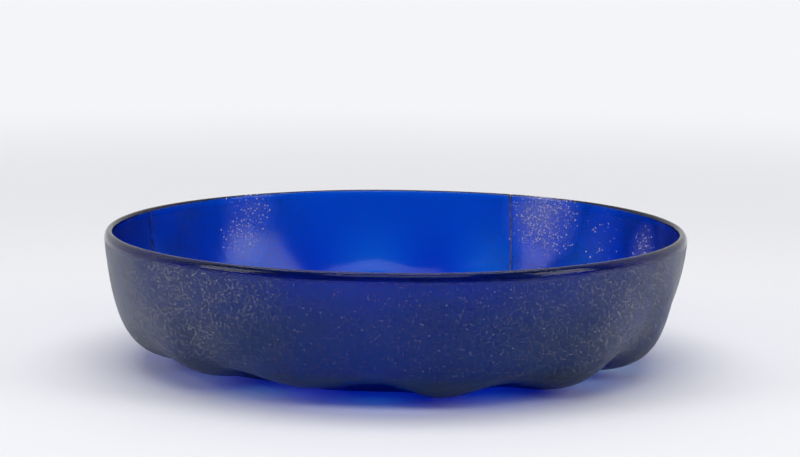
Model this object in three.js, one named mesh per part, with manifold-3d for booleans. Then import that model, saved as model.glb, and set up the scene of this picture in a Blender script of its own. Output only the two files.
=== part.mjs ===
// A round shallow dish of translucent blue glass with thirteen soft lobes pressed into its outer wall.
// It has been broken once and mended, so it is three pieces: a large sherd, a sherd of the back wall
// that fits into it, and the line of adhesive between them.
// Millimetres, +Z up. The origin is the centre of the flat base, and -Y is the front of the dish.

import * as THREE from "three";
import { mergeVertices } from "three/addons/utils/BufferGeometryUtils.js";
import Module from "manifold-3d";

const wasm = await Module();
wasm.setup();

// Body: the base is flat, and the outer wall rises from its edge to the rim in one curve
const rimRadius = 80;
const dishHeight = 37;
const baseRadius = 44.5;
const turnReach = 76; // how far out the curve runs level before it turns up
const sideReach = 77.5; // where the curve stands upright below the rim, and how high that is
const sideHeight = 7.5;

// Lip: rounded down its outside as a long quarter of an ellipse, and tightly inside
const lipThickness = 2.3;
const lipShoulder = 1.4; // how far in from the outside the top of the lip is
const lipDrop = 2.3; // how far down the outside the rounding runs

// Glass thickness below the lip: a little more in the turn of the wall than at its two ends
const floorThickness = 3;
const turnThickening = 0.9;
const thinnestWall = 1.4;
const thinnestBlend = 0.8; // how softly the lining gives way where a valley would make it too thin

// Valleys between the lobes: pressed in by hand, so no two are alike. The angle is counted from the
// front towards +X, the depth is how far the outside is pressed in where the wall turns, and the
// fullness is how far the lobe after that valley stands proud of the curve, or short of it.
const valleys = [
  { angle: -175, depth: 4.9, fullness: -0.3 },
  { angle: -145, depth: 4.6, fullness: -0.4 },
  { angle: -118, depth: 4.8, fullness: -0.2 },
  { angle: -91, depth: 2.8, fullness: -1.4 },
  { angle: -62, depth: 3.2, fullness: -1.6 },
  { angle: -39, depth: 4.6, fullness: -2 },
  { angle: -4, depth: 4.3, fullness: -0.3 },
  { angle: 27, depth: 3.2, fullness: 0.2 },
  { angle: 58.5, depth: 5.3, fullness: -0.7 },
  { angle: 79, depth: 7.2, fullness: -2.3 },
  { angle: 109, depth: 5.4, fullness: -0.5 },
  { angle: 134, depth: 4.6, fullness: -0.2 },
  { angle: 158, depth: 5, fullness: -0.3 },
];
const valleyOnset = 12.3; // along the wall from the base's edge to the valleys' deepest place
const valleyFade = 47; // along the wall from there to where they end
const innerFollow = 0.6; // the share of the pressing that shows as a wave on the inside
const turnBias = 0.42; // under 1, the lining's wave is strongest nearer to the base than to the rim

// The break: it crosses the rim twice behind the dish and runs over the floor behind the middle.
// Angles are counted from the back, towards +X for the right end and towards -X for the left one.
const rightRimAngle = 25.8;
const rightFootAngle = 28.1;
const leftRimAngle = 64.4;
const leftFootAngle = 66;
const footReach = 14; // how far up the wall from the base's edge the foot angles are taken
const floorCrossing = new THREE.Vector2(-8, 16);
const pastRim = 4; // how far the cut runs on past the rim
const pastFaces = 2; // and past the two faces of the glass
const adhesiveThickness = 0.4;
const jointGap = 0.3;
const adhesiveRecess = 0.2; // how far the adhesive stays below the faces of the glass

// Fineness of the surface
const roundSteps = 132;
const wallSteps = 13;
const wallCrowding = 1.4; // over 1, the rings lie closer together where the valleys begin
const liningSteps = 8;
const lipSteps = 3; // on each of the lip's two roundings
const ribbonSteps = 44;
const weldDistance = 1e-5;

const fullTurn = 2 * Math.PI;
const quarterTurn = Math.PI / 2;
const wallCurve = new THREE.CubicBezierCurve(
  new THREE.Vector2(baseRadius, 0),
  new THREE.Vector2(turnReach, 0),
  new THREE.Vector2(sideReach, sideHeight),
  new THREE.Vector2(rimRadius, dishHeight - lipDrop),
);
const wallLength = wallCurve.getLength();
const rimReach = baseRadius + wallLength;

// A place on the wall curve, at a length from the base's edge, with the normal that points out
function wallPlace(length) {
  const share = THREE.MathUtils.clamp(length / wallLength, 0, 1);
  const tangent = wallCurve.getTangentAt(share);
  return {
    point: wallCurve.getPointAt(share),
    tangent,
    outward: new THREE.Vector2(tangent.y, -tangent.x),
    share,
  };
}

// How strongly the valleys show at a length along the wall: none at the base's edge and at the rim
function valleyStrength(length) {
  if (length < valleyOnset) {
    return Math.sin((quarterTurn * length) / valleyOnset) ** 2;
  }
  const faded = Math.min((length - valleyOnset) / valleyFade, 1);
  return Math.cos(quarterTurn * faded) ** 2;
}

// How far the valleys press the outside in at an angle, in millimetres at their deepest place
function pressing(angle) {
  const first = THREE.MathUtils.degToRad(valleys[0].angle);
  const turned = first + THREE.MathUtils.euclideanModulo(angle - first, fullTurn);
  for (let i = 0; i < valleys.length; i++) {
    const here = valleys[i];
    const next = valleys[(i + 1) % valleys.length];
    const start = THREE.MathUtils.degToRad(here.angle);
    const span = THREE.MathUtils.euclideanModulo(
      THREE.MathUtils.degToRad(next.angle - here.angle),
      fullTurn,
    );
    const across = (turned - start) / span;
    if (across < 0 || across >= 1) continue;
    const valley = 0.5 + 0.5 * Math.cos(fullTurn * across);
    const depth = THREE.MathUtils.lerp(
      here.depth,
      next.depth,
      THREE.MathUtils.smoothstep(across, 0, 1),
    );
    return depth * valley - here.fullness * (1 - valley);
  }
  return valleys[0].depth;
}

// How strongly the lining's wave shows at a length along the wall: nothing at its two ends
function turnStrength(length) {
  const { share } = wallPlace(length);
  return Math.sin(Math.PI * share ** turnBias) ** 2;
}

// The plain thickness of the glass at a length along the wall, before the valleys
function plainThickness(length) {
  const { share } = wallPlace(length);
  const even = THREE.MathUtils.lerp(floorThickness, lipThickness, share);
  return even + turnThickening * turnStrength(length);
}

// The larger of two, with the corner between them rounded
function softMax(a, b) {
  return (a + b + Math.hypot(a - b, thinnestBlend)) / 2;
}

// A ring of points from a function that gives radius and height at an angle
function ring(placeAt) {
  const points = [];
  for (let i = 0; i < roundSteps; i++) {
    const angle = (fullTurn * i) / roundSteps;
    const { x: radius, y: height } = placeAt(angle);
    points.push([radius * Math.sin(angle), -radius * Math.cos(angle), height]);
  }
  return points;
}

// The outside and the lining at a length along the wall and an angle, with their faces drawn in.
// A full lobe that would reach under the base is flat there, as the base is.
function outsideAt(length, angle, recess) {
  const { point, outward } = wallPlace(length);
  const inward = pressing(angle) * valleyStrength(length) + recess;
  const place = point.clone().addScaledVector(outward, -inward);
  place.y = Math.max(place.y, recess);
  return place;
}

function liningAt(length, angle, recess) {
  const { point, outward } = wallPlace(length);
  const plain = plainThickness(length);
  const soft = pressing(angle) * turnStrength(length) * innerFollow;
  const thinnest = pressing(angle) * valleyStrength(length) + thinnestWall - plain;
  const ends = Math.sin(Math.PI * wallPlace(length).share) ** 0.5;
  const wave = softMax(soft, thinnest) * ends;
  return point.clone().addScaledVector(outward, -(plain + wave - recess));
}

// The lip at a turn that runs from 0 at its outside to half a turn at its inside
function lipAt(turn, recess) {
  const inside = turn > quarterTurn;
  const tight = lipThickness - lipShoulder;
  const across = inside ? tight : lipShoulder;
  const down = inside ? tight : lipDrop;
  return new THREE.Vector2(
    rimRadius - lipShoulder + (across - recess) * Math.cos(turn),
    dishHeight - down + (down - recess) * Math.sin(turn),
  );
}

// A closed skin from rings that run from a point under the base round to a point on the floor
function skin(rings, firstPole, lastPole) {
  const positions = [...firstPole];
  for (const points of rings) positions.push(...points.flat());
  positions.push(...lastPole);
  const vertex = (row, i) => 1 + row * roundSteps + (i % roundSteps);
  const lastVertex = 1 + rings.length * roundSteps;
  const index = [];
  for (let i = 0; i < roundSteps; i++) {
    index.push(0, vertex(0, i + 1), vertex(0, i));
    for (let row = 0; row + 1 < rings.length; row++) {
      index.push(vertex(row, i), vertex(row, i + 1), vertex(row + 1, i + 1));
      index.push(vertex(row, i), vertex(row + 1, i + 1), vertex(row + 1, i));
    }
    index.push(lastVertex, vertex(rings.length - 1, i), vertex(rings.length - 1, i + 1));
  }
  return closedGeometry(positions, index);
}

function closedGeometry(positions, index) {
  const geometry = new THREE.BufferGeometry();
  geometry.setAttribute("position", new THREE.Float32BufferAttribute(positions, 3));
  geometry.setIndex(index);
  return geometry;
}

// The whole dish as if it had never been broken, with every face drawn in by the recess
function wholeDish(recess) {
  const rings = [];
  for (let i = 0; i <= wallSteps; i++) {
    const length = wallLength * (i / wallSteps) ** wallCrowding;
    rings.push(ring((angle) => outsideAt(length, angle, recess)));
  }
  for (let i = 1; i <= 2 * lipSteps; i++) {
    const place = lipAt((quarterTurn * i) / lipSteps, recess);
    rings.push(ring(() => place));
  }
  for (let i = 0; i <= liningSteps; i++) {
    const length = wallLength * (1 - i / liningSteps);
    rings.push(ring((angle) => liningAt(length, angle, recess)));
  }
  return skin(rings, [0, 0, recess], [0, 0, floorThickness - recess]);
}

// The middle of the glass at a place on the dish laid out flat, where the distance from the centre
// is the way over the floor and up the wall. It carries on straight past the rim.
function middleOfGlass(flat) {
  const reach = flat.length();
  const angle = Math.atan2(flat.x, flat.y);
  const { point, tangent, outward } = wallPlace(reach - baseRadius);
  const middle = point.clone().addScaledVector(outward, -plainThickness(reach - baseRadius) / 2);
  if (reach < baseRadius) middle.x = reach;
  if (reach > rimReach) middle.addScaledVector(tangent, reach - rimReach);
  const turned = (v) => new THREE.Vector3(v.x * Math.sin(angle), v.x * Math.cos(angle), v.y);
  return { middle: turned(middle), outward: turned(outward) };
}

function flatPlace(angleFromBack, reach) {
  const angle = THREE.MathUtils.degToRad(angleFromBack);
  return new THREE.Vector2(reach * Math.sin(angle), reach * Math.cos(angle));
}

const breakLine = new THREE.SplineCurve([
  flatPlace(rightRimAngle, rimReach + lipDrop + pastRim),
  flatPlace(rightFootAngle, baseRadius + footReach),
  floorCrossing,
  flatPlace(-leftFootAngle, baseRadius + footReach),
  flatPlace(-leftRimAngle, rimReach + lipDrop + pastRim),
]);

// A ribbon that stands across the glass along the break, deep enough to cut right through it
function breakRibbon(thickness) {
  const deepest = Math.max(...valleys.map((valley) => valley.depth));
  const standOut = (floorThickness + turnThickening) / 2 + pastFaces;
  const standIn = standOut + deepest;
  const corners = [
    { across: 1, along: standOut },
    { across: -1, along: standOut },
    { across: -1, along: -standIn },
    { across: 1, along: -standIn },
  ];
  const station = (share) => middleOfGlass(breakLine.getPointAt(THREE.MathUtils.clamp(share, 0, 1)));
  const halfStep = 1 / (2 * ribbonSteps);
  const positions = [];
  for (let i = 0; i <= ribbonSteps; i++) {
    const share = i / ribbonSteps;
    const { middle, outward } = station(share);
    const forward = station(share + halfStep).middle.sub(station(share - halfStep).middle);
    const sideways = forward.cross(outward).normalize();
    for (const { across, along } of corners) {
      const corner = middle
        .clone()
        .addScaledVector(sideways, (across * thickness) / 2)
        .addScaledVector(outward, along);
      positions.push(corner.x, corner.y, corner.z);
    }
  }
  const last = 4 * ribbonSteps;
  const index = [0, 1, 2, 0, 2, 3, last, last + 2, last + 1, last, last + 3, last + 2];
  for (let i = 0; i < ribbonSteps; i++) {
    for (let side = 0; side < 4; side++) {
      const a = 4 * i + side;
      const b = 4 * i + ((side + 1) % 4);
      index.push(a, b + 4, b, a, a + 4, b + 4);
    }
  }
  return closedGeometry(positions, index);
}

// Closed geometry to a solid for the cuts, and back
function solid(geometry) {
  const merged = mergeVertices(geometry, weldDistance);
  const mesh = new wasm.Mesh({
    numProp: 3,
    vertProperties: merged.getAttribute("position").array,
    triVerts: new Uint32Array(merged.index.array),
  });
  return new wasm.Manifold(mesh);
}

function geometryOf(body) {
  const { vertProperties, triVerts } = body.getMesh();
  const geometry = new THREE.BufferGeometry();
  geometry.setAttribute("position", new THREE.BufferAttribute(vertProperties, 3));
  geometry.setIndex(new THREE.BufferAttribute(triVerts, 1));
  const faceted = geometry.toNonIndexed();
  faceted.computeVertexNormals();
  return faceted;
}

const cut = solid(breakRibbon(adhesiveThickness + 2 * jointGap));
const sherds = solid(wholeDish(0))
  .subtract(cut)
  .decompose()
  .sort((a, b) => b.volume() - a.volume());
const [mainSherd, backSherd] = sherds;
const adhesive = solid(wholeDish(adhesiveRecess)).intersect(solid(breakRibbon(adhesiveThickness)));

const glass = { color: 0x12307f, roughness: 0.5, metalness: 0 };
const glue = { color: 0x3d3029, roughness: 0.7, metalness: 0 };

function piece(name, body, finish) {
  const mesh = new THREE.Mesh(geometryOf(body), new THREE.MeshStandardMaterial(finish));
  mesh.name = name;
  return mesh;
}

const dish = new THREE.Group();
dish.name = "dish";
dish.add(
  piece("main_sherd", mainSherd, glass),
  piece("back_sherd", backSherd, glass),
  piece("adhesive_seam", adhesive, glue),
);

export default dish;
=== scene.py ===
# The lobed blue glass dish, dressed for the photograph: two sherds of cobalt glass with a pitted skin,
# and the line of old adhesive that joins them.
import math
import bpy
import numpy as np
from mathutils import Matrix, Vector


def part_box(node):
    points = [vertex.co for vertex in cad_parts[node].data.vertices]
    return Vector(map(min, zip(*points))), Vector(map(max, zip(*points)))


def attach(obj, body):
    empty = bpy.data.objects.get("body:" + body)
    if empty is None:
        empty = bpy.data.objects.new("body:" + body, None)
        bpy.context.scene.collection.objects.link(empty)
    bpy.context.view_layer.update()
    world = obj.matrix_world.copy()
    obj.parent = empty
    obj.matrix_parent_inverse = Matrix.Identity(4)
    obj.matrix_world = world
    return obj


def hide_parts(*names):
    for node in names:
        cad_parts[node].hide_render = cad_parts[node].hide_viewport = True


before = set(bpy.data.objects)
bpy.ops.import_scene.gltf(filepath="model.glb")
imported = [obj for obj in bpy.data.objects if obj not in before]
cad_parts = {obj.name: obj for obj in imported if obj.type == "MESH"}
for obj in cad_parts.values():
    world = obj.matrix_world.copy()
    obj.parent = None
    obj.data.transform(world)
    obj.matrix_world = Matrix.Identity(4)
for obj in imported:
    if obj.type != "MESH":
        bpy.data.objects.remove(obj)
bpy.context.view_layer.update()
print("frame loaded:", sorted(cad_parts))

mm = 0.001
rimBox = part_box("main_sherd")
rimRadius = rimBox[1][0] / mm  # the rim is the widest place of the dish
dishHeight = rimBox[1][2] / mm

# Body, in millimetres. What comes down to the valleys is as the solids have it; the rest is the
# unevenness of the hand-finished faces, which the solids don't have, and the steps of the mesh
body = {
    "baseRadius": 44.5,
    "turnReach": 76.0,
    "sideReach": 77.5,
    "sideHeight": 7.5,
    "lipThickness": 2.3,
    "lipShoulder": 1.4,   # how far in from the outside the top of the lip is
    "lipDrop": 2.3,       # how far down the outside the lip's rounding runs
    "floorThickness": 3.0,
    "turnThickening": 0.9,
    "thinnestWall": 1.4,
    "thinnestBlend": 0.8,
    "turnBias": 0.42,
    "valleyOnset": 12.3,
    "valleyFade": 47.0,
    "innerFollow": 0.6,
    "valleys": [  # angle from the front towards +X, depth, fullness of the lobe after it
        (-175, 4.9, -0.3), (-145, 4.6, -0.4), (-118, 4.8, -0.2), (-91, 2.8, -1.4), (-62, 3.2, -1.6),
        (-39, 4.6, -2), (-4, 4.3, -0.3), (27, 3.2, 0.2), (58.5, 5.3, -0.7),
        (79, 7.2, -2.3), (109, 5.4, -0.5), (134, 4.6, -0.2), (158, 5, -0.3),
    ],
    "faceWander": 0.13,   # how far the hand-finished faces wander from a true curve
    "footStill": 12.0,    # they wander less over this length from the foot, so that the base stays flat
    "lipStill": 8.0,      # and over this one under the lip
    "rimWander": 0.16,
    "rimRise": (0.45, 0.55),   # it starts at this share of the height and is whole after this much more
    "waveTurns": (2, 3, 5, 7, 9, 13),  # waves of the wander round the dish
    "waveSlope": 0.12,
    "waveDrift": (0.02, 0.07),
    "waveSum": 2.2,       # brings their sum back to about 1
    "seeds": {"outside": 11, "lining": 23, "rimHeight": 5, "rimReach": 8},
    "baseRings": (0.25, 0.55, 0.85),   # shares of the base's radius
    "footCrowding": 1.25,  # above 1 it draws the rows of the wall together towards the foot
    "curveSamples": 2001,
    "skinSteps": (480, 84, 8, 58),     # round the dish, up the wall, in half the lip, down the lining
    "sharpAngle": 38.0,   # degrees, over which an edge is drawn sharp
}


def bezier(share):
    # the wall curve: a cubic from the base's edge to the rim, as (radius, height)
    top = dishHeight - body["lipDrop"]
    points = np.array([[body["baseRadius"], 0], [body["turnReach"], 0],
                       [body["sideReach"], body["sideHeight"]], [rimRadius, top]])
    s = share[:, None]
    return ((1 - s) ** 3 * points[0] + 3 * (1 - s) ** 2 * s * points[1]
            + 3 * (1 - s) * s ** 2 * points[2] + s ** 3 * points[3])


wallTable = bezier(np.linspace(0, 1, body["curveSamples"]))
wallSteps = np.hypot(*np.diff(wallTable, axis=0).T)
wallLengths = np.concatenate([[0], np.cumsum(wallSteps)])
wallLength = wallLengths[-1]
rimReach = body["baseRadius"] + wallLength


def onWall(length):
    # the place on the wall curve at a length from the base's edge, as (radius, height)
    return np.stack([np.interp(length, wallLengths, wallTable[:, k]) for k in (0, 1)], -1)


def wallPlace(length):
    # point, tangent and outward normal of the wall curve at a length from the base's edge
    length = np.clip(length, 0, wallLength)
    small = 0.02
    tangent = onWall(np.minimum(length + small, wallLength)) - onWall(np.maximum(length - small, 0))
    tangent /= np.linalg.norm(tangent, axis=-1, keepdims=True)
    outward = np.stack([tangent[..., 1], -tangent[..., 0]], -1)
    return onWall(length), tangent, outward


def valleyStrength(length):
    # rises as a squared sine from the base's edge, then fades as a squared cosine towards the rim
    rising = np.sin(np.pi / 2 * np.clip(length / body["valleyOnset"], 0, 1)) ** 2
    faded = np.clip((length - body["valleyOnset"]) / body["valleyFade"], 0, 1)
    return np.where(length < body["valleyOnset"], rising, np.cos(np.pi / 2 * faded) ** 2)


def turnStrength(length):
    # a squared sine over the wall, its middle moved towards the base
    return np.sin(np.pi * np.clip(length / wallLength, 0, 1) ** body["turnBias"]) ** 2


def pressing(angle):
    # raised cosines between one valley and the next, less the fullness of the lobe between them
    valleys = np.array(body["valleys"], float)
    starts = np.append(valleys[:, 0], valleys[0, 0] + 360)
    depths = np.append(valleys[:, 1], valleys[0, 1])
    turned = (np.degrees(angle) - starts[0]) % 360 + starts[0]
    lobe = np.clip(np.searchsorted(starts, turned, side="right") - 1, 0, len(valleys) - 1)
    across = (turned - starts[lobe]) / (starts[lobe + 1] - starts[lobe])
    valley = 0.5 + 0.5 * np.cos(2 * np.pi * across)
    smooth = across * across * (3 - 2 * across)
    depth = depths[lobe] + (depths[lobe + 1] - depths[lobe]) * smooth
    return depth * valley - valleys[lobe, 2] * (1 - valley)


def plainThickness(length):
    # a straight change from floor to lip, plus a little more in the turn
    even = np.interp(length, [0, wallLength], [body["floorThickness"], body["lipThickness"]])
    return even + body["turnThickening"] * turnStrength(length)


def smoothMax(one, other, blend):
    # the larger of two, with the corner between them rounded over a blend
    return 0.5 * (one + other + np.sqrt((one - other) ** 2 + blend ** 2))


def wander(angle, along, seed):
    # a few slow waves of random phase: the unevenness of a hand-finished face, from about -1 to 1
    draw = np.random.default_rng(seed)
    total = np.zeros(np.broadcast(angle, along).shape)
    for turns in body["waveTurns"]:
        phase = draw.uniform(0, 2 * np.pi)
        slope = draw.uniform(-body["waveSlope"], body["waveSlope"])
        drift = draw.uniform(*body["waveDrift"])
        total += np.sin(turns * angle + phase + slope * along) * np.cos(drift * along + phase) / turns ** 0.5
    return total / body["waveSum"]


def outsidePlace(length, angle, recess):
    # the wall curve less the pressing; a full lobe is flat where it would reach under the base
    point, _, outward = wallPlace(length)
    rough = body["faceWander"] * wander(angle, length, body["seeds"]["outside"])
    uneven = rough * np.clip(length / body["footStill"], 0, 1)
    inward = pressing(angle) * valleyStrength(length) + recess + uneven
    place = point - outward * inward[..., None]
    place[..., 1] = np.maximum(place[..., 1], recess)
    return place


def liningPlace(length, angle, recess):
    # the wall curve less the glass, which follows the pressing softly and never gets too thin
    point, _, outward = wallPlace(length)
    plain = plainThickness(length)
    soft = pressing(angle) * turnStrength(length) * body["innerFollow"]
    thinnest = pressing(angle) * valleyStrength(length) + body["thinnestWall"] - plain
    rough = body["faceWander"] * wander(angle, length, body["seeds"]["lining"])
    uneven = rough * np.clip((wallLength - length) / body["lipStill"], 0, 1)
    ends = np.sin(np.pi * np.clip(length / wallLength, 0, 1)) ** 0.5
    wave = (smoothMax(soft, thinnest, body["thinnestBlend"]) + uneven) * ends
    return point - outward * (plain + wave - recess)[..., None]


def lipPlace(turn, recess):
    # two quarters of ellipses that meet at the top of the lip: a long one outside and a tight one inside
    tight = body["lipThickness"] - body["lipShoulder"]
    across = np.where(np.cos(turn) > 0, body["lipShoulder"], tight) - recess
    down = np.where(np.cos(turn) > 0, body["lipDrop"], tight)
    return np.stack([rimRadius - body["lipShoulder"] + across * np.cos(turn),
                     dishHeight - recess - (down - recess) * (1 - np.sin(turn))], -1)


def flatRings(reach, height, angle):
    # level rings of a few radii, for the base and the floor
    radius = np.array(reach, float)[:, None] + 0 * angle
    return np.stack([radius, np.full_like(radius, height)], -1)


def dishSkin(recess, aroundSteps, wallRows, lipRows, liningRows):
    # rows of (radius, height) round the whole dish: under the base, up the outside, over the lip,
    # down the lining and over the floor
    angle = np.linspace(0, 2 * np.pi, aroundSteps, endpoint=False)[None, :]
    rings = body["baseRadius"] * np.array(body["baseRings"])
    up = (wallLength * np.linspace(0, 1, wallRows) ** body["footCrowding"])[:, None] + 0 * angle
    over = (np.pi * np.arange(1, 2 * lipRows + 1) / (2 * lipRows))[:, None] + 0 * angle
    down = (wallLength * (1 - np.linspace(0, 1, liningRows)))[:, None] + 0 * angle
    place = np.concatenate([
        flatRings(rings, recess, angle),
        outsidePlace(up, angle + 0 * up, recess),
        lipPlace(over, recess),
        liningPlace(down, angle + 0 * down, recess),
        flatRings(rings[::-1], body["floorThickness"] - recess, angle)])
    # the rim wanders a little up and down and in and out, and takes the upper wall with it
    start, rise = body["rimRise"]
    high = np.clip((place[..., 1] / dishHeight - start) / rise, 0, 1) ** 2
    place[..., 1] -= body["rimWander"] * high * (0.5 + 0.5 * wander(angle, 0, body["seeds"]["rimHeight"]))
    place[..., 0] -= body["rimWander"] * high * (0.5 + 0.5 * wander(angle, 0, body["seeds"]["rimReach"]))
    points = np.stack([place[..., 0] * np.sin(angle), -place[..., 0] * np.cos(angle), place[..., 1]], -1)
    rowCount = len(points)
    poles = np.array([[0, 0, recess], [0, 0, body["floorThickness"] - recess]])
    vertices = np.concatenate([points.reshape(-1, 3), poles])
    column = np.arange(aroundSteps)
    after = (column + 1) % aroundSteps
    row = np.arange(rowCount - 1)[:, None] * aroundSteps
    quads = np.stack([row + column, row + after, row + aroundSteps + after, row + aroundSteps + column], -1)
    underPole = np.full(aroundSteps, len(vertices) - 2)
    overPole = np.full(aroundSteps, len(vertices) - 1)
    lastRow = (rowCount - 1) * aroundSteps
    fans = np.concatenate([
        np.stack([underPole, after, column], -1),
        np.stack([overPole, lastRow + column, lastRow + after], -1)])
    return vertices, quads.reshape(-1, 4), fans


def makeMesh(name, vertices, quads, triangles):
    # loose arrays, in millimetres, to a mesh in metres
    mesh = bpy.data.meshes.new(name)
    corners = np.concatenate([np.ravel(quads), np.ravel(triangles)]).astype(np.int32)
    sizes = np.concatenate([np.full(len(quads), 4), np.full(len(triangles), 3)]).astype(np.int32)
    starts = np.concatenate([[0], np.cumsum(sizes)[:-1]]).astype(np.int32)
    mesh.vertices.add(len(vertices))
    mesh.vertices.foreach_set("co", (np.asarray(vertices) * mm).astype(np.float32).ravel())
    mesh.loops.add(len(corners))
    mesh.loops.foreach_set("vertex_index", corners)
    mesh.polygons.add(len(sizes))
    mesh.polygons.foreach_set("loop_start", starts)
    mesh.update(calc_edges=True)
    return mesh


def makeObject(name, mesh):
    made = bpy.data.objects.new(name, mesh)
    bpy.context.scene.collection.objects.link(made)
    return made


# Break: where it meets the rim and the floor, and how wide the old mend is
mend = {
    "rightRimAngle": 25.8,
    "rightFootAngle": 28.1,
    "leftRimAngle": 64.4,
    "leftFootAngle": 66.0,
    "footReach": 14.0,
    "floorCrossing": (-8.0, 16.0),
    "pastRim": 4.0,
    "pastFaces": 2.0,
    "gap": (0.42, 0.18),  # between the sherds at the right end and at the left, in millimetres
    "gapWander": 0.3,     # chipped edges make it wider and narrower by this share
    "gapWaves": (9.0, 4.3, 2.1, 1.3),
    "lineWander": 0.16,
    "lineWaves": (31.0, 13.0, 7.0, 3.1),
    "seed": 4,
    "chipWidth": 0.7,     # how much wider the gap is at the rim, where the edge lost a flake
    "chipReach": 1.6,
    "clearance": 0.012,   # between the adhesive and the glass, so that they never meet
    "recess": 0.05,       # how far the adhesive stays under the skin of the glass
    "steps": 420,
    "splineSamples": 200,
    "skinSteps": (300, 60, 5, 44),
}


def flatPlace(angleFromBack, reach):
    # a place on the dish laid out flat, as an angle and a reach from its middle
    turned = math.radians(angleFromBack)
    return np.array([reach * math.sin(turned), reach * math.cos(turned)])


def breakLine(count):
    # a cubic spline through five places on the dish laid out flat, at even steps of its length
    foot = body["baseRadius"] + mend["footReach"]
    rim = rimReach + body["lipDrop"] + mend["pastRim"]
    knots = np.array([flatPlace(mend["rightRimAngle"], rim), flatPlace(mend["rightFootAngle"], foot),
                      mend["floorCrossing"], flatPlace(-mend["leftFootAngle"], foot),
                      flatPlace(-mend["leftRimAngle"], rim)])
    padded = np.concatenate([knots[:1], knots, knots[-1:]])
    pieces = []
    for index in range(len(knots) - 1):
        before, start, end, beyond = padded[index:index + 4]
        atEnd = index == len(knots) - 2
        t = np.linspace(0, 1, mend["splineSamples"], endpoint=atEnd)[:, None]
        leaving, arriving = (end - before) / 2, (beyond - start) / 2
        pieces.append((2 * t ** 3 - 3 * t ** 2 + 1) * start + (t ** 3 - 2 * t ** 2 + t) * leaving
                      + (3 * t ** 2 - 2 * t ** 3) * end + (t ** 3 - t ** 2) * arriving)
    dense = np.concatenate(pieces)
    way = np.concatenate([[0], np.cumsum(np.hypot(*np.diff(dense, axis=0).T))])
    even = np.linspace(0, way[-1], count)
    return np.stack([np.interp(even, way, dense[:, k]) for k in (0, 1)], -1), even


def middleOfGlass(flat):
    # from the dish laid out flat to the middle of the glass, and the normal there
    reach = np.hypot(flat[:, 0], flat[:, 1])
    angle = np.arctan2(flat[:, 0], flat[:, 1])
    length = reach - body["baseRadius"]
    point, tangent, outward = wallPlace(length)
    middle = point - outward * (plainThickness(np.clip(length, 0, wallLength)) / 2)[:, None]
    middle[:, 0] = np.where(length < 0, reach, middle[:, 0])
    middle += tangent * np.clip(reach - rimReach, 0, None)[:, None]
    around = np.stack([np.sin(angle), np.cos(angle), 0 * angle], -1)
    upright = np.array([0, 0, 1])
    return (middle[:, :1] * around + middle[:, 1:] * upright,
            outward[:, :1] * around + outward[:, 1:] * upright)


def unevenness(way, waves, draw):
    # a sum of sine waves of the given lengths, each with its own random phase, from -1 to 1
    return sum(np.sin(2 * np.pi * way / size + draw.uniform(0, 2 * np.pi)) for size in waves) / len(waves)


def breakRibbon(name, narrower, chipWidth):
    # a strip that stands across the glass all along the break, its width a little uneven, and wider by
    # a bell curve where it passes the rim
    flat, way = breakLine(mend["steps"])
    draw = np.random.default_rng(mend["seed"])
    ahead = np.gradient(flat, axis=0)
    ahead /= np.linalg.norm(ahead, axis=1, keepdims=True)
    aside = unevenness(way, mend["lineWaves"], draw)
    flat = flat + mend["lineWander"] * aside[:, None] * ahead[:, ::-1] * [1, -1]
    even = np.interp(way, [0, way[-1]], mend["gap"])
    width = even * (1 + mend["gapWander"] * unevenness(way, mend["gapWaves"], draw)) - 2 * narrower
    overRim = (np.hypot(flat[:, 0], flat[:, 1]) - rimReach - body["lipDrop"]) / mend["chipReach"]
    width += chipWidth * even / mend["gap"][0] * np.exp(-np.minimum(overRim, 0) ** 2)
    middle, outward = middleOfGlass(flat)
    sideways = np.cross(np.gradient(middle, axis=0), outward)
    sideways /= np.linalg.norm(sideways, axis=1, keepdims=True)
    standOut = (body["floorThickness"] + body["turnThickening"]) / 2 + mend["pastFaces"]
    standIn = standOut + max(depth for _, depth, _ in body["valleys"])
    corners = [middle + sideways * (side * width / 2)[:, None] + outward * reach
               for side, reach in ((1, standOut), (-1, standOut), (-1, -standIn), (1, -standIn))]
    vertices = np.stack(corners, 1).reshape(-1, 3)
    step = 4 * np.arange(len(middle) - 1)[:, None]
    side = np.arange(4)[None, :]
    follow = (side + 1) % 4
    quads = np.stack([step + side, step + 4 + side, step + 4 + follow, step + follow], -1).reshape(-1, 4)
    last = len(vertices) - 4
    caps = np.array([[0, 1, 2, 3], [last + 3, last + 2, last + 1, last]])
    return makeObject(name, makeMesh(name, vertices, np.concatenate([quads, caps]), np.zeros((0, 3), int)))


def cutWith(target, tool, operation):
    # the mesh of target after one boolean with tool; both objects go. Triangulated, it holds some slivers
    # along the cut, up to 0.02 mm wide, that lie back to back in pairs
    change = target.modifiers.new("cut", "BOOLEAN")
    change.operation, change.object, change.solver = operation, tool, "MANIFOLD"
    evaluated = target.evaluated_get(bpy.context.evaluated_depsgraph_get())
    mesh = bpy.data.meshes.new_from_object(evaluated)
    for used in (target, tool):
        old = used.data
        bpy.data.objects.remove(used)
        bpy.data.meshes.remove(old)
    return mesh


def looseParts(mesh):
    # a label for every vertex, the lowest number it is joined to, and the labels by size
    ends = np.empty(2 * len(mesh.edges), np.int32)
    mesh.edges.foreach_get("vertices", ends)
    ends = ends.reshape(-1, 2)
    label = np.arange(len(mesh.vertices))
    while True:
        lowest = np.minimum(label[ends[:, 0]], label[ends[:, 1]])
        fresh = label.copy()
        np.minimum.at(fresh, ends[:, 0], lowest)
        np.minimum.at(fresh, ends[:, 1], lowest)
        fresh = fresh[fresh]
        if np.array_equal(fresh, label):
            break
        label = fresh
    names, sizes = np.unique(label, return_counts=True)
    return label, names[np.argsort(-sizes)]


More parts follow.
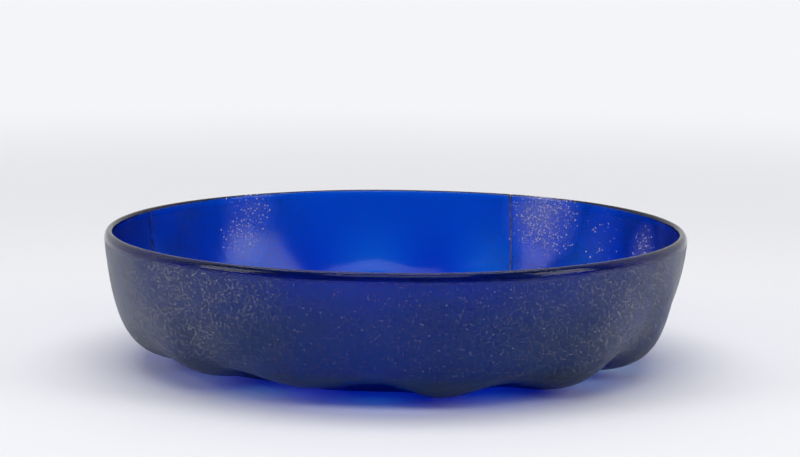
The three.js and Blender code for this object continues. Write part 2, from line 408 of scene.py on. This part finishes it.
def keepPart(mesh, chosen, name):
    # a new mesh that holds only the faces of the chosen vertices, as triangles
    points = np.empty(3 * len(mesh.vertices), np.float32)
    mesh.vertices.foreach_get("co", points)
    points = points.reshape(-1, 3)
    mesh.calc_loop_triangles()
    corners = np.empty(3 * len(mesh.loop_triangles), np.int32)
    mesh.loop_triangles.foreach_get("vertices", corners)
    corners = corners.reshape(-1, 3)
    corners = corners[chosen[corners[:, 0]]]
    renumber = np.cumsum(chosen) - 1
    return makeMesh(name, points[chosen] / mm, np.zeros((0, 4), int), renumber[corners])


def smoothFaces(mesh, sharpAngle):
    mesh.polygons.foreach_set("use_smooth", np.ones(len(mesh.polygons), bool))
    mesh.set_sharp_from_angle(angle=math.radians(sharpAngle))


insideMark = {
    "upward": 0.6,        # how much it counts that a face looks up, beside that it looks inwards
    "sharpness": 1.5,     # how quickly the mark goes from 0 to 1
}


def markInside(mesh):
    # an attribute that is 1 on the lining and the floor and 0 outside, from the way each vertex faces
    count = len(mesh.vertices)
    points = np.empty(3 * count, np.float32)
    normals = np.empty(3 * count, np.float32)
    mesh.vertices.foreach_get("co", points)
    mesh.vertex_normals.foreach_get("vector", normals)
    points, normals = points.reshape(-1, 3), normals.reshape(-1, 3)
    reach = np.maximum(np.hypot(points[:, 0], points[:, 1]), mm)
    inward = -(points[:, :2] * normals[:, :2]).sum(1) / reach
    facing = inward + insideMark["upward"] * normals[:, 2]
    inside = np.clip(0.5 + insideMark["sharpness"] * facing, 0, 1)
    marks = mesh.attributes.new("inside", "FLOAT", "POINT")
    marks.data.foreach_set("value", inside.astype(np.float32))


wholeDish = makeObject("wholeDish", makeMesh("wholeDish", *dishSkin(0, *body["skinSteps"])))
brokenDish = cutWith(wholeDish, breakRibbon("kerf", 0, mend["chipWidth"]), "DIFFERENCE")
label, order = looseParts(brokenDish)
sherds = []
for which, node in enumerate(("main_sherd", "back_sherd")):
    piece = makeObject(node + "_glass", keepPart(brokenDish, label == order[which], node + "_glass"))
    smoothFaces(piece.data, body["sharpAngle"])
    markInside(piece.data)
    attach(piece, "root")
    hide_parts(node)
    sherds.append(piece)
print("sherds:", [len(piece.data.polygons) for piece in sherds], "loose parts:", len(order))

insetSkin = dishSkin(mend["recess"], *mend["skinSteps"])
insetDish = makeObject("insetDish", makeMesh("insetDish", *insetSkin))
beadMesh = cutWith(insetDish, breakRibbon("bead", mend["clearance"], 0), "INTERSECT")
adhesiveBead = makeObject("adhesive_bead", beadMesh)
adhesiveBead.data.name = "adhesive_bead"
smoothFaces(beadMesh, body["sharpAngle"])
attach(adhesiveBead, "root")
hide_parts("adhesive_seam")
print("adhesive:", len(beadMesh.polygons), "faces")


def hexColour(text):
    # sRGB hex to the linear values that the shaders take
    parts = [int(text[first:first + 2], 16) / 255 for first in (1, 3, 5)]
    return (*[part / 12.92 if part <= 0.04045 else ((part + 0.055) / 1.055) ** 2.4 for part in parts], 1.0)


def addNode(tree, kind, settings=None, links=None):
    # one node: settings are its own properties or its inputs' values, links are input: the output
    # socket that feeds it, or a node for that node's first output
    node = tree.nodes.new(kind)
    for key, value in (settings or {}).items():
        if isinstance(key, str) and hasattr(node, key):
            setattr(node, key, value)
        else:
            node.inputs[key].default_value = value
    for key, source in (links or {}).items():
        socket = source if isinstance(source, bpy.types.NodeSocket) else source.outputs[0]
        tree.links.new(socket, node.inputs[key])
    return node


def newMaterial(name):
    material = bpy.data.materials.new(name)
    material.use_nodes = True
    material.node_tree.nodes.clear()
    return material, material.node_tree


def perSize(millimetres):
    # how many of a pattern's features fit in a metre
    return 1 / (millimetres * mm)


# Cobalt glass, cast, ground and then worn by burial. The eye gets a deep clear blue from the mass, a
# satin skin that blurs what is behind it, a pale dust whose cover grows towards the two sides as the
# camera sees them, which paints there the grey sheen of grazing light, flecks of crust, and a lilac-white
# bloom in a few places of the lining, set where the side softboxes mirror in it: part bloom and part
# painted highlight. The real grains and pits are at most about 0.5 mm wide, too fine to show, so the
# grains of dust and bloom are drawn up to 0.8 mm wide and the waves of the etching 0.5 mm, as coarse as
# they need to be
glass = {
    "passes": "#00C2F5",          # absorption colour: what the density leaves of white
    "density": 2000.0,            # per metre
    "skin": "#3FBCF3",            # tints what passes each face and what the etched skin scatters
    "skinScatter": 0.036,         # the share of the light that the etched skin scatters
    "ior": 1.32,                  # clear glass has 1.5; at 1.48, all else the same, the front is too grey
    "specular": 0.08,
    "roughOutside": 0.38,
    "roughLining": 0.17,
    "roughLip": 0.1,
    "roughChange": (0.85, 1.15),  # from one blotch of the skin to another
    "blotch": 13.0,               # millimetres, as all sizes here
    "blotchDetail": 5.0,
    "blotchContrast": (0.35, 0.65),
    "blotchDust": (0.6, 1.4),     # what a blotch does to the amount of dust and bloom
    "etching": (0.5, 0.012),      # width and depth of its waves
    "etchingDetail": 1.0,
    "lipFade": (0.8, 0.4),        # below and above the start of the lip's rounding
    "exposedLining": 0.04,        # the lining and the lip have little of what the outside has
    "exposedLip": 0.25,
}
# Dust on the outside, with a painted sheen: its cover grows towards the dish's two ends as the camera sees
# them, painting the grey of grazing light there
dustAndSheen = {
    "colour": "#A8A2A0",
    # over these the cover grows from the middle to the two sides: painted sheen, not thicker dust
    "from": 24.0,                 # from the middle towards the two sides
    "to": 76.0,
    "cover": (0.004, 0.13),
    "thickness": (0.6, 5.0),      # between its grains and in them
    "spacing": 0.66,              # of the cells that can hold a grain
    "size": (0.3, 0.62),          # radius of a grain as a share of the spacing, smallest and largest
    "edge": 0.5,                  # from this share of its radius a grain thins out
    "share": (0.35, 0.8),         # how many cells hold a grain, from clean glass to a blotch
    "shareOver": (0.35, 0.65),    # the values of the blotches that this runs over
    "sides": (50.0, -10.0),       # from back to front: the back has less, as none shows through it
    "back": 0.4,
}
flecks = {
    "colour": "#C3C3D4",
    "spacing": 0.85,
    "size": (0.14, 0.36),
    "edge": 0.5,
    "share": (0.15, 0.65),
    "shareOver": (0.35, 0.65),
    "cover": 0.24,
    "depth": 0.03,                # how far the crust stands up
    "sides": (40.0, -40.0),
    "back": 0.05,
}
# Lilac-white bloom on the lining: part real bloom, part painted highlight, as it sits where the side
# softboxes mirror in the lining and its strengths follow those highlights
bloomAndHighlight = {
    "colour": "#D6D2FA",
    "spacing": 0.62,
    "size": (0.3, 0.62),
    "edge": 0.5,
    "share": (0.0, 0.95),         # how many cells hold a grain, from the edge of a bloom to its middle
    "shareOver": (0.0, 1.0),
    "film": 0.2,                  # the cover between the grains
    "cover": 1.0,
    # each place is also a painted highlight of a softbox in the lining
    "places": [  # centre, radius and strength of each bloom on the lining
        ((-45.0, 60.5, 24.5), 9.0, 0.85),
        ((-43.0, 62.0, 33.0), 11.0, 0.4),
        ((43.0, 62.0, 31.5), 15.0, 1.25),
        ((60.0, 48.0, 27.0), 11.0, 0.15),
        ((70.0, 29.0, 27.0), 9.0, 0.45),
    ],
}
mapLimits = ("From Min", "From Max", "To Min", "To Max")


def specks(tree, place, kind, driver):
    # round specks in a share of the cells, which the driver sets: each cell draws one number for
    # whether it has a speck, and one for the speck's size
    cell = addNode(tree, "ShaderNodeTexVoronoi", {"Scale": perSize(kind["spacing"])}, {"Vector": place})
    draws = addNode(tree, "ShaderNodeSeparateColor", None, {"Color": cell.outputs["Color"]})
    radius = addNode(tree, "ShaderNodeMapRange", dict(zip(mapLimits, (0, 1, *kind["size"]))),
                     {"Value": draws.outputs["Green"]})
    reach = addNode(tree, "ShaderNodeMath", {"operation": "DIVIDE"}, {0: cell.outputs["Distance"], 1: radius})
    shape = addNode(tree, "ShaderNodeMapRange", dict(zip(mapLimits, (kind["edge"], 1, 1, 0))),
                    {"Value": reach})
    limits = (*kind["shareOver"], *kind["share"])
    share = addNode(tree, "ShaderNodeMapRange", dict(zip(mapLimits, limits)), {"Value": driver})
    present = addNode(tree, "ShaderNodeMath", {"operation": "LESS_THAN"}, {0: draws.outputs["Red"], 1: share})
    return addNode(tree, "ShaderNodeMath", {"operation": "MULTIPLY"}, {0: shape, 1: present})


def dustAndSheenFactors(tree, place, axes, blotch):
    # how thick the dust is: its rise towards the two sides as the camera sees them is painted sheen of
    # grazing light, not more dust; less on the back, and most in its grains
    offMiddle = addNode(tree, "ShaderNodeMath", {"operation": "ABSOLUTE"}, {0: axes.outputs["X"]})
    # painted sheen: the cover grows with the distance from the middle across the view
    limits = (dustAndSheen["from"] * mm, dustAndSheen["to"] * mm, *dustAndSheen["cover"])
    cover = addNode(tree, "ShaderNodeMapRange", dict(zip(mapLimits, limits)), {"Value": offMiddle})
    grain = addNode(tree, "ShaderNodeMapRange", dict(zip(mapLimits, (0, 1, *dustAndSheen["thickness"]))),
                    {"Value": specks(tree, place, dustAndSheen, blotch)})
    limits = (dustAndSheen["sides"][0] * mm, dustAndSheen["sides"][1] * mm, dustAndSheen["back"], 1)
    facing = addNode(tree, "ShaderNodeMapRange", dict(zip(mapLimits, limits)), {"Value": axes.outputs["Y"]})
    return cover, grain, facing


def fleckFactors(tree, place, axes, blotch):
    # flecks of crust: more where the skin is blotched, fewer on the back
    fewest = flecks["back"] * flecks["cover"]
    limits = (flecks["sides"][0] * mm, flecks["sides"][1] * mm, fewest, flecks["cover"])
    facing = addNode(tree, "ShaderNodeMapRange", dict(zip(mapLimits, limits)), {"Value": axes.outputs["Y"]})
    return specks(tree, place, flecks, blotch), facing


def bloomAndHighlightCover(tree, place, patches):
    # places where white grains lie on the lining, with a thin film between them; they sit where the side
    # softboxes mirror in the lining, so they are part bloom and part painted highlight
    strength = None
    for centre, reach, most in bloomAndHighlight["places"]:
        away = addNode(tree, "ShaderNodeVectorMath", {"operation": "DISTANCE", 1: [c * mm for c in centre]},
                       {0: place})
        near = addNode(tree, "ShaderNodeMapRange",
                       {"interpolation_type": "SMOOTHSTEP", **dict(zip(mapLimits, (reach * mm, 0, 0, most)))},
                       {"Value": away.outputs["Value"]})
        if strength is None:
            strength = near
        else:
            strength = addNode(tree, "ShaderNodeMath", {"operation": "MAXIMUM"}, {0: strength, 1: near})
    strength = addNode(tree, "ShaderNodeMath", {"operation": "MULTIPLY"}, {0: strength, 1: patches})
    grains = addNode(tree, "ShaderNodeMath", {"operation": "MULTIPLY", 1: bloomAndHighlight["cover"]},
                     {0: specks(tree, place, bloomAndHighlight, strength)})
    film = addNode(tree, "ShaderNodeMath", {"operation": "MULTIPLY", 1: bloomAndHighlight["film"]}, {0: strength})
    return addNode(tree, "ShaderNodeMath", {"operation": "MAXIMUM"}, {0: grains, 1: film})


def cobaltGlass():
    material, tree = newMaterial("weathered cobalt glass")
    place = addNode(tree, "ShaderNodeTexCoord").outputs["Object"]
    axes = addNode(tree, "ShaderNodeSeparateXYZ", None, {"Vector": place})
    inside = addNode(tree, "ShaderNodeAttribute", {"attribute_name": "inside"}).outputs["Fac"]
    blotch = addNode(tree, "ShaderNodeTexNoise",
                     {"Scale": perSize(glass["blotch"]), "Detail": glass["blotchDetail"]}, {"Vector": place})
    limits = (*glass["blotchContrast"], *glass["blotchDust"])
    patches = addNode(tree, "ShaderNodeMapRange", dict(zip(mapLimits, limits)), {"Value": blotch})
    lipStart = dishHeight - body["lipDrop"]
    limits = ((lipStart - glass["lipFade"][0]) * mm, (lipStart + glass["lipFade"][1]) * mm)
    lip = addNode(tree, "ShaderNodeMapRange", dict(zip(mapLimits, limits)), {"Value": axes.outputs["Z"]})

    # how much of a face's dust and crust is still there: all of it outside, little on lining and lip
    worn = addNode(tree, "ShaderNodeMapRange", {"To Min": 1.0, "To Max": glass["exposedLip"]}, {"Value": lip})
    outer = addNode(tree, "ShaderNodeMapRange", {"To Min": 1.0, "To Max": glass["exposedLining"]},
                    {"Value": inside})
    exposed = addNode(tree, "ShaderNodeMath", {"operation": "MULTIPLY"}, {0: worn, 1: outer})
    covers = []
    for factors in ((*dustAndSheenFactors(tree, place, axes, blotch), patches, exposed),
                    (*fleckFactors(tree, place, axes, blotch), exposed),
                    (bloomAndHighlightCover(tree, place, patches), inside)):
        cover = factors[0]
        for factor in factors[1:]:
            cover = addNode(tree, "ShaderNodeMath", {"operation": "MULTIPLY"}, {0: cover, 1: factor})
        covers.append(cover)
    dustAndSheenCover, flecked, bloomAndHighlightAmount = covers

    # what scatters takes the place of the clear glass
    # crust and the bloom, which also paints the softboxes' highlights on the lining
    crustAndHighlight = addNode(tree, "ShaderNodeMath", {"operation": "MAXIMUM"}, {0: flecked, 1: bloomAndHighlightAmount})
    looseAndPaintedLight = addNode(tree, "ShaderNodeMath", {"operation": "ADD"}, {0: crustAndHighlight, 1: dustAndSheenCover})
    scatters = addNode(tree, "ShaderNodeMath", {"operation": "MULTIPLY_ADD", 1: glass["skinScatter"]},
                       {0: exposed, 2: looseAndPaintedLight})
    clear = addNode(tree, "ShaderNodeMath", {"operation": "SUBTRACT", 0: 1.0}, {1: scatters})

    # it has the colour of skin, dust with its painted sheen, and crust and bloom with the bloom's painted
    # highlight, by their shares; a hair more keeps the shares finite
    hair = 1e-4
    crustAndHighlightColour = addNode(tree, "ShaderNodeMixRGB", {"Color1": hexColour(flecks["colour"]),
                          "Color2": hexColour(bloomAndHighlight["colour"])}, {"Fac": inside})
    some = addNode(tree, "ShaderNodeMath", {"operation": "ADD", 1: hair}, {0: looseAndPaintedLight})
    crustAndHighlightShare = addNode(tree, "ShaderNodeMath", {"operation": "DIVIDE"}, {0: crustAndHighlight, 1: some})
    looseAndPaintedLightColour = addNode(tree, "ShaderNodeMixRGB", {"Color1": hexColour(dustAndSheen["colour"])},
                          {"Fac": crustAndHighlightShare, "Color2": crustAndHighlightColour})
    some = addNode(tree, "ShaderNodeMath", {"operation": "ADD", 1: hair}, {0: scatters})
    looseAndPaintedLightShare = addNode(tree, "ShaderNodeMath", {"operation": "DIVIDE"}, {0: looseAndPaintedLight, 1: some})
    colour = addNode(tree, "ShaderNodeMixRGB", {"Color1": hexColour(glass["skin"])},
                     {"Fac": looseAndPaintedLightShare, "Color2": looseAndPaintedLightColour})

    # roughness: the lining and the lip are smoother than the outside, and blotches change it a little
    ends = {"To Min": glass["roughOutside"], "To Max": glass["roughLining"]}
    face = addNode(tree, "ShaderNodeMapRange", ends, {"Value": inside})
    face = addNode(tree, "ShaderNodeMapRange", {"To Max": glass["roughLip"]}, {"Value": lip, "To Min": face})
    limits = (*glass["blotchContrast"], *glass["roughChange"])
    change = addNode(tree, "ShaderNodeMapRange", dict(zip(mapLimits, limits)), {"Value": blotch})
    rough = addNode(tree, "ShaderNodeMath", {"operation": "MULTIPLY"}, {0: face, 1: change})

    # relief: crust and the bloom with its painted highlight stand up from a finely etched skin
    width, depth = glass["etching"]
    waves = addNode(tree, "ShaderNodeTexNoise",
                    {"Scale": perSize(width), "Detail": glass["etchingDetail"]}, {"Vector": place})
    etched = addNode(tree, "ShaderNodeMath", {"operation": "MULTIPLY", 1: depth * mm}, {0: waves})
    height = addNode(tree, "ShaderNodeMath", {"operation": "MULTIPLY_ADD", 1: flecks["depth"] * mm},
                     {0: crustAndHighlight, 2: etched})
    bump = addNode(tree, "ShaderNodeBump", {"Distance": 1.0, "Strength": 1.0}, {"Height": height})
    shader = addNode(tree, "ShaderNodeBsdfPrincipled",
                     {"IOR": glass["ior"], "Specular IOR Level": glass["specular"]},
                     {"Base Color": colour, "Roughness": rough, "Transmission Weight": clear, "Normal": bump})
    mass = addNode(tree, "ShaderNodeVolumeAbsorption",
                   {"Color": hexColour(glass["passes"]), "Density": glass["density"]})
    addNode(tree, "ShaderNodeOutputMaterial", None, {"Surface": shader, "Volume": mass})
    return material


# Old restoration adhesive: gone brown, dull, with dirt in it
adhesive = {
    "dark": "#43352F",
    "pale": "#8C7A70",
    "mottle": 1.5,        # millimetres
    "mottleDetail": 3.0,
    "contrast": (0.4, 0.65),
    "relief": 0.05,
    "roughness": 0.6,
}


def agedAdhesive():
    material, tree = newMaterial("aged restoration adhesive")
    place = addNode(tree, "ShaderNodeTexCoord").outputs["Object"]
    mottle = addNode(tree, "ShaderNodeTexNoise",
                     {"Scale": perSize(adhesive["mottle"]), "Detail": adhesive["mottleDetail"]},
                     {"Vector": place}).outputs["Fac"]
    spread = addNode(tree, "ShaderNodeMapRange", dict(zip(mapLimits, adhesive["contrast"])),
                     {"Value": mottle})
    colour = addNode(tree, "ShaderNodeMixRGB", {"Color1": hexColour(adhesive["dark"]),
                     "Color2": hexColour(adhesive["pale"])}, {"Fac": spread})
    bump = addNode(tree, "ShaderNodeBump", {"Distance": adhesive["relief"] * mm}, {"Height": mottle})
    shader = addNode(tree, "ShaderNodeBsdfPrincipled", {"Roughness": adhesive["roughness"]},
                     {"Base Color": colour, "Normal": bump})
    addNode(tree, "ShaderNodeOutputMaterial", None, {"Surface": shader})
    return material


glassMaterial = cobaltGlass()
for piece in sherds:
    piece.data.materials.append(glassMaterial)
adhesiveBead.data.materials.clear()
adhesiveBead.data.materials.append(agedAdhesive())
print("materials made")


# Studio: a pale sheet that runs on into a pale backdrop, soft light from behind and above, a softbox
# at each side that draws the two ends of the dish, and one high in front that lights the sheet under
# the rim. The rest of the room in front is dark
studio = {
    "sheet": "#F1F1F4",
    "sheetRoughness": 0.9,
    "sheetSpecular": 0.1,
    "sheetReach": 4000.0,
    "sheetDrop": 0.05,        # millimetres under the dish, so that the two faces never coincide
    "farColour": "#F4F5F9",
    "farFrom": 220.0,         # millimetres from the middle: from here the sheet turns into the backdrop
    "farTo": 700.0,
    "backdrop": 0.78,         # strength of the light from behind
    "room": 0.03,             # and from the room in front
    "turnsAt": (0.0, 0.35),   # sine of the angle behind the dish over which the room gives way to it
    "shown": 0.93,            # strength of what is seen straight or through the glass
    "boxes": [  # place and size in metres, and radiance; each looks at the dish
        ((-0.84, -0.34, 0.42), (0.40, 0.50), 3.4),
        ((0.84, -0.34, 0.42), (0.40, 0.50), 3.4),
        ((0.0, 0.08, 1.0), (1.2, 0.6), 2.4),
        ((0.0, -0.74, 1.0), (1.0, 0.5), 2.1),
    ],
}


def makeFloor():
    # a flat square under the dish; away from it, what is seen of the sheet turns into the backdrop
    reach, low = studio["sheetReach"], -studio["sheetDrop"]
    corners = np.array([[-reach, -reach, low], [reach, -reach, low],
                        [reach, reach, low], [-reach, reach, low]])
    floor = makeObject("paper_sheet", makeMesh("paper_sheet", corners, np.array([[0, 1, 2, 3]]),
                                               np.zeros((0, 3), int)))
    material, tree = newMaterial("matt paper")
    paper = addNode(tree, "ShaderNodeBsdfPrincipled", {"Base Color": hexColour(studio["sheet"]),
                    "Roughness": studio["sheetRoughness"], "Specular IOR Level": studio["sheetSpecular"]})
    backdrop = addNode(tree, "ShaderNodeEmission", {"Color": hexColour(studio["farColour"])})
    place = addNode(tree, "ShaderNodeTexCoord").outputs["Object"]
    away = addNode(tree, "ShaderNodeVectorMath", {"operation": "LENGTH"}, {0: place}).outputs["Value"]
    limits = (studio["farFrom"] * mm, studio["farTo"] * mm, 0, 1)
    far = addNode(tree, "ShaderNodeMapRange",
                  {"interpolation_type": "SMOOTHSTEP", **dict(zip(mapLimits, limits))}, {"Value": away})
    path = addNode(tree, "ShaderNodeLightPath")
    seen = addNode(tree, "ShaderNodeMath", {"operation": "MAXIMUM"},
                   {0: path.outputs["Is Camera Ray"], 1: path.outputs["Is Transmission Ray"]})
    seen = addNode(tree, "ShaderNodeMath", {"operation": "MAXIMUM"},
                   {0: seen, 1: path.outputs["Is Glossy Ray"]})
    seenFar = addNode(tree, "ShaderNodeMath", {"operation": "MULTIPLY"}, {0: seen, 1: far})
    mixed = addNode(tree, "ShaderNodeMixShader", None, {0: seenFar, 1: paper, 2: backdrop})
    addNode(tree, "ShaderNodeOutputMaterial", None, {"Surface": mixed})
    floor.data.materials.append(material)


def makeWorld():
    world = bpy.data.worlds.new("studio")
    bpy.context.scene.world = world
    world.use_nodes = True
    tree = world.node_tree
    tree.nodes.clear()
    direction = addNode(tree, "ShaderNodeTexCoord").outputs["Generated"]
    behind = addNode(tree, "ShaderNodeSeparateXYZ", None, {"Vector": direction}).outputs["Y"]
    limits = (*studio["turnsAt"], studio["room"], studio["backdrop"])
    light = addNode(tree, "ShaderNodeMapRange",
                    {"interpolation_type": "SMOOTHSTEP", **dict(zip(mapLimits, limits))}, {"Value": behind})
    # what is seen straight or through the glass, before any diffuse bounce, is pale all round
    underOne = 0.5
    path = addNode(tree, "ShaderNodeLightPath")
    seen = addNode(tree, "ShaderNodeMath", {"operation": "MAXIMUM"},
                   {0: path.outputs["Is Camera Ray"], 1: path.outputs["Is Transmission Ray"]})
    direct = addNode(tree, "ShaderNodeMath", {"operation": "LESS_THAN", 1: underOne},
                     {0: path.outputs["Diffuse Depth"]})
    seen = addNode(tree, "ShaderNodeMath", {"operation": "MULTIPLY"}, {0: seen, 1: direct})
    strength = addNode(tree, "ShaderNodeMapRange", {"To Max": studio["shown"]},
                       {"Value": seen, "To Min": light})
    sky = addNode(tree, "ShaderNodeBackground", {"Color": hexColour(studio["farColour"])},
                  {"Strength": strength})
    addNode(tree, "ShaderNodeOutputWorld", None, {"Surface": sky})


def makeSoftboxes():
    # a lamp of an area sends out its radiance times pi times that area
    target = Vector((0, 0, dishHeight * mm / 2))
    for index, (place, size, radiance) in enumerate(studio["boxes"]):
        lamp = bpy.data.lights.new("softbox%d" % index, "AREA")
        lamp.shape, lamp.size, lamp.size_y = "RECTANGLE", size[0], size[1]
        lamp.energy = radiance * math.pi * size[0] * size[1]
        box = bpy.data.objects.new(lamp.name, lamp)
        box.location = place
        box.rotation_euler = (target - Vector(place)).to_track_quat("-Z", "Y").to_euler()
        bpy.context.scene.collection.objects.link(box)


# Camera: the rim's ellipse gives its height above the table; the frame is 800 pixels wide
cameraView = {
    "distance": 800.0,            # millimetres, from the rim's centre
    "elevation": 8.312,
    "focalPixels": 2906.5,
    "rimCentrePixel": (395.89, 227.08),
    "roll": 0.478,
    "frame": (800, 457),
    "sensor": 36.0,
    "clipEnd": 50.0,              # metres
}


def makeCamera():
    # it first looks at the rim's centre, and is then turned so that the centre falls on its pixel
    data = bpy.data.cameras.new("camera")
    data.sensor_fit, data.sensor_width = "HORIZONTAL", cameraView["sensor"]
    data.lens = cameraView["focalPixels"] * cameraView["sensor"] / cameraView["frame"][0]
    data.clip_end = cameraView["clipEnd"]
    camera = bpy.data.objects.new("camera", data)
    up = math.radians(cameraView["elevation"])
    rimCentre = Vector((0, 0, dishHeight)) * mm
    away = Vector((0, -math.cos(up), math.sin(up)))
    position = rimCentre + away * cameraView["distance"] * mm
    roll = Matrix.Rotation(math.radians(cameraView["roll"]), 3, "Z").to_quaternion()
    turn = (-away).to_track_quat("-Z", "Y") @ roll
    pixel = cameraView["distance"] * mm / cameraView["focalPixels"]  # a pixel's size at the rim's centre
    right = (cameraView["frame"][0] / 2 - cameraView["rimCentrePixel"][0]) * pixel
    down = (cameraView["frame"][1] / 2 - cameraView["rimCentrePixel"][1]) * pixel
    aim = rimCentre + turn @ Vector((right, -down, 0))
    forward = (aim - position).normalized()
    camera.rotation_euler = ((turn @ Vector((0, 0, -1))).rotation_difference(forward) @ turn).to_euler()
    camera.location = position
    bpy.context.scene.collection.objects.link(camera)
    bpy.context.scene.camera = camera


makeFloor()
makeWorld()
makeSoftboxes()
makeCamera()
bpy.context.scene.view_settings.view_transform = "Standard"
print("studio and camera made")
